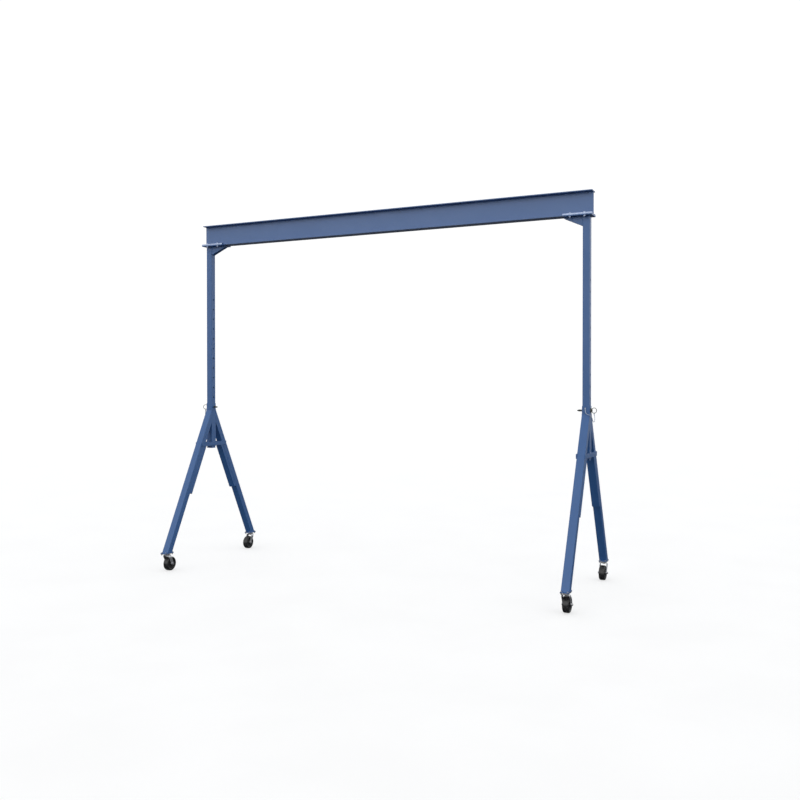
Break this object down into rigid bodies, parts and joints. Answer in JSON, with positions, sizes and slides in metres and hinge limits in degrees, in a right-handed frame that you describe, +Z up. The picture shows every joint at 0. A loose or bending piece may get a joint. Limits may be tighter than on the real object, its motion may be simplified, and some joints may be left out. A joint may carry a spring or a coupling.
{
  "type": "gantry crane",
  "caption": "Adjustable-height steel gantry crane: an I-beam on telescoping uprights pinned in A-frames that roll on swivel casters.",
  "frame": {"origin": "on the floor under the middle of the beam", "axes": "+X along the beam, +Y across it to the rear, +Z up"},
  "size_m": [6.17, 2.2718, 5.203],
  "materials": {
    "blue_paint": "satin blue enamel",
    "zinc_plate": "bright zinc plating",
    "black_wheel": "moulded black, satin",
    "wire_rope": "galvanised wire rope"
  },
  "bodies": {
    "left_frame": {"left_sleeve": "blue_paint", "left_cross_bars": "blue_paint", "left_height_pin": "zinc_plate", "left_pin_lanyard": "wire_rope", "left_front_leg": "blue_paint", "left_front_leg_stiffener": "blue_paint", "left_front_foot_plate": "blue_paint", "left_front_caster_plate": "zinc_plate", "left_rear_leg": "blue_paint", "left_rear_leg_stiffener": "blue_paint", "left_rear_foot_plate": "blue_paint", "left_rear_caster_plate": "zinc_plate"},
    "right_frame": {"right_sleeve": "blue_paint", "right_cross_bars": "blue_paint", "right_height_pin": "zinc_plate", "right_pin_lanyard": "wire_rope", "right_front_leg": "blue_paint", "right_front_leg_stiffener": "blue_paint", "right_front_foot_plate": "blue_paint", "right_front_caster_plate": "zinc_plate", "right_rear_leg": "blue_paint", "right_rear_leg_stiffener": "blue_paint", "right_rear_foot_plate": "blue_paint", "right_rear_caster_plate": "zinc_plate"},
    "beam_unit": {"i_beam": "blue_paint", "left_upright": "blue_paint", "left_cap_plate": "blue_paint", "left_knee_bracket": "blue_paint", "left_beam_clamps": "zinc_plate", "right_upright": "blue_paint", "right_cap_plate": "blue_paint", "right_knee_bracket": "blue_paint", "right_beam_clamps": "zinc_plate"},
    "left_front_caster": {"left_front_fork": "zinc_plate", "left_front_axle": "zinc_plate"},
    "left_front_roller": {"left_front_wheel": "black_wheel"},
    "left_rear_caster": {"left_rear_fork": "zinc_plate", "left_rear_axle": "zinc_plate"},
    "left_rear_roller": {"left_rear_wheel": "black_wheel"},
    "right_front_caster": {"right_front_fork": "zinc_plate", "right_front_axle": "zinc_plate"},
    "right_front_roller": {"right_front_wheel": "black_wheel"},
    "right_rear_caster": {"right_rear_fork": "zinc_plate", "right_rear_axle": "zinc_plate"},
    "right_rear_roller": {"right_rear_wheel": "black_wheel"}
  },
  "joints": [
    {"name": "beam_height", "type": "slide", "parent": "left_frame", "child": "beam_unit", "axis": [0, 0, 1], "range_m": [-1.6764, 0]},
    {"name": "right_frame_height", "type": "slide", "parent": "beam_unit", "child": "right_frame", "axis": [0, 0, 1], "range_m": [0, 1.6764]},
    {"name": "left_front_swivel", "type": "hinge", "parent": "left_frame", "child": "left_front_caster", "pos_m": [-2.963, -1.04987, 0.24], "axis": [0, 0, 1], "continuous": true},
    {"name": "left_front_wheel_spin", "type": "hinge", "parent": "left_front_caster", "child": "left_front_roller", "pos_m": [-2.963, -0.99287, 0.1015], "axis": [1, 0, 0], "continuous": true},
    {"name": "left_rear_swivel", "type": "hinge", "parent": "left_frame", "child": "left_rear_caster", "pos_m": [-2.963, 1.04987, 0.24], "axis": [0, 0, 1], "continuous": true},
    {"name": "left_rear_wheel_spin", "type": "hinge", "parent": "left_rear_caster", "child": "left_rear_roller", "pos_m": [-2.963, 0.99287, 0.1015], "axis": [1, 0, 0], "continuous": true},
    {"name": "right_front_swivel", "type": "hinge", "parent": "right_frame", "child": "right_front_caster", "pos_m": [2.963, -1.04987, 0.24], "axis": [0, 0, 1], "continuous": true},
    {"name": "right_front_wheel_spin", "type": "hinge", "parent": "right_front_caster", "child": "right_front_roller", "pos_m": [2.963, -0.99287, 0.1015], "axis": [1, 0, 0], "continuous": true},
    {"name": "right_rear_swivel", "type": "hinge", "parent": "right_frame", "child": "right_rear_caster", "pos_m": [2.963, 1.04987, 0.24], "axis": [0, 0, 1], "continuous": true},
    {"name": "right_rear_wheel_spin", "type": "hinge", "parent": "right_rear_caster", "child": "right_rear_roller", "pos_m": [2.963, 0.99287, 0.1015], "axis": [1, 0, 0], "continuous": true}
  ],
  "couplings": [
    {"joint": "right_frame_height", "follows": "beam_height", "ratio": -1}
  ]
}
